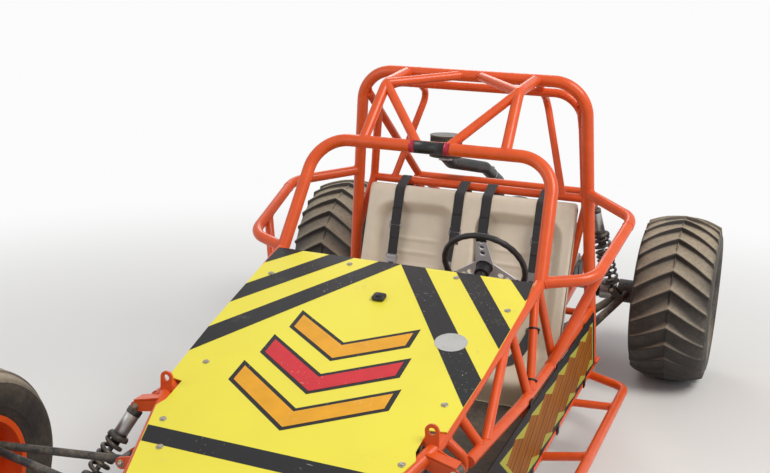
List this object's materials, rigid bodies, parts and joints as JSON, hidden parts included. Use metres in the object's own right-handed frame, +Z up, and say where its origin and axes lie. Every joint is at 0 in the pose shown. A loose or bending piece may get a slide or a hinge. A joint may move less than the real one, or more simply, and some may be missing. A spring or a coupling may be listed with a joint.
{
  "type": "two-seat tube-frame dune buggy",
  "caption": "Open two-seat tube-frame dune buggy with roll cage, flat hood panel, bench seat, coil-over suspension, rear engine and paddle rear tyres.",
  "frame": {"origin": "on the ground, under the middle of the vehicle's length and width", "axes": "+Z up, -Y forward, +X towards the vehicle's left side"},
  "size_m": [2.15, 3.89, 1.5283],
  "materials": {
    "frame_paint": "gloss powder coat with sand dust",
    "hood_paint": "gloss yellow with black bands, scuffed",
    "panel_paint": "black with slanted yellow and orange bars",
    "floor_metal": "satin black, sandy",
    "black_metal": "satin black",
    "rim_paint": "gloss powder coat with dust",
    "tyre_rubber": "matt rubber dusted with sand",
    "seat_vinyl": "cream moulding, satin",
    "shock_mix": "silver body and black spring",
    "steel": "machined steel",
    "cast_aluminium": "cast, oily dust",
    "grip_rubber": "soft black grip",
    "exhaust_metal": "heat-stained steel",
    "black_plastic": "matt black",
    "strap_fabric": "woven black webbing"
  },
  "bodies": {
    "chassis": {"air_cleaner": "black_plastic", "bench_seat": "seat_vinyl", "engine": "cast_aluminium", "exhaust": "exhaust_metal", "floor_frame": "frame_paint", "floor_pan": "floor_metal", "foot_pedals": "black_metal", "front_arms": "black_metal", "front_shocks": "shock_mix", "fuel_tank": "cast_aluminium", "harness_straps": "strap_fabric", "hip_bar_left": "frame_paint", "hip_bar_right": "frame_paint", "hood_panel": "hood_paint", "main_hoop": "frame_paint", "nose_frame": "frame_paint", "rack_housing": "cast_aluminium", "rear_arms": "black_metal", "rear_cage": "frame_paint", "rear_hoop": "frame_paint", "rear_shocks": "shock_mix", "roof_rails": "frame_paint", "screen_hoop": "frame_paint", "shifter": "steel", "side_bar_left": "frame_paint", "side_bar_right": "frame_paint", "side_panel_left": "panel_paint", "side_panel_right": "panel_paint", "side_truss_left": "frame_paint", "side_truss_right": "frame_paint", "steering_column": "black_metal", "transaxle": "cast_aluminium"},
    "knuckle_left": {"knuckle_left": "black_metal"},
    "knuckle_right": {"knuckle_right": "black_metal"},
    "front_wheel_left": {"front_rim_left": "rim_paint", "front_tyre_left": "tyre_rubber"},
    "front_wheel_right": {"front_rim_right": "rim_paint", "front_tyre_right": "tyre_rubber"},
    "rear_wheel_left": {"rear_rim_left": "rim_paint", "rear_tyre_left": "tyre_rubber", "drive_shaft_left": "steel"},
    "rear_wheel_right": {"rear_rim_right": "rim_paint", "rear_tyre_right": "tyre_rubber", "drive_shaft_right": "steel"},
    "steering_wheel": {"steering_wheel": "grip_rubber"},
    "tie_rods": {"tie_rods": "steel"}
  },
  "joints": [
    {"name": "steer_left", "type": "hinge", "parent": "chassis", "child": "knuckle_left", "pos_m": [0.865, -1.6, 0.345], "axis": [0, 0, 1], "range_deg": [-25, 25]},
    {"name": "front_wheel_left_spin", "type": "hinge", "parent": "knuckle_left", "child": "front_wheel_left", "pos_m": [0.95, -1.6, 0.345], "axis": [1, 0, 0], "continuous": true},
    {"name": "rear_wheel_left_spin", "type": "hinge", "parent": "chassis", "child": "rear_wheel_left", "pos_m": [0.89, 1.22, 0.413], "axis": [1, 0, 0], "continuous": true},
    {"name": "steer_right", "type": "hinge", "parent": "chassis", "child": "knuckle_right", "pos_m": [-0.865, -1.6, 0.345], "axis": [0, 0, 1], "range_deg": [-25, 25]},
    {"name": "front_wheel_right_spin", "type": "hinge", "parent": "knuckle_right", "child": "front_wheel_right", "pos_m": [-0.95, -1.6, 0.345], "axis": [1, 0, 0], "continuous": true},
    {"name": "rear_wheel_right_spin", "type": "hinge", "parent": "chassis", "child": "rear_wheel_right", "pos_m": [-0.89, 1.22, 0.413], "axis": [1, 0, 0], "continuous": true},
    {"name": "steering_wheel_turn", "type": "hinge", "parent": "chassis", "child": "steering_wheel", "pos_m": [0.25, -0.045, 0.8], "axis": [0, 0.866, 0.5], "range_deg": [-250, 250]},
    {"name": "rack_slide", "type": "slide", "parent": "chassis", "child": "tie_rods", "axis": [1, 0, 0], "range_m": [-0.051, 0.051]}
  ],
  "couplings": [
    {"joint": "steer_right", "follows": "steer_left", "ratio": 1},
    {"joint": "steering_wheel_turn", "follows": "steer_left", "ratio": 10},
    {"joint": "rack_slide", "follows": "steer_left", "m_per_rad": -0.11623}
  ]
}
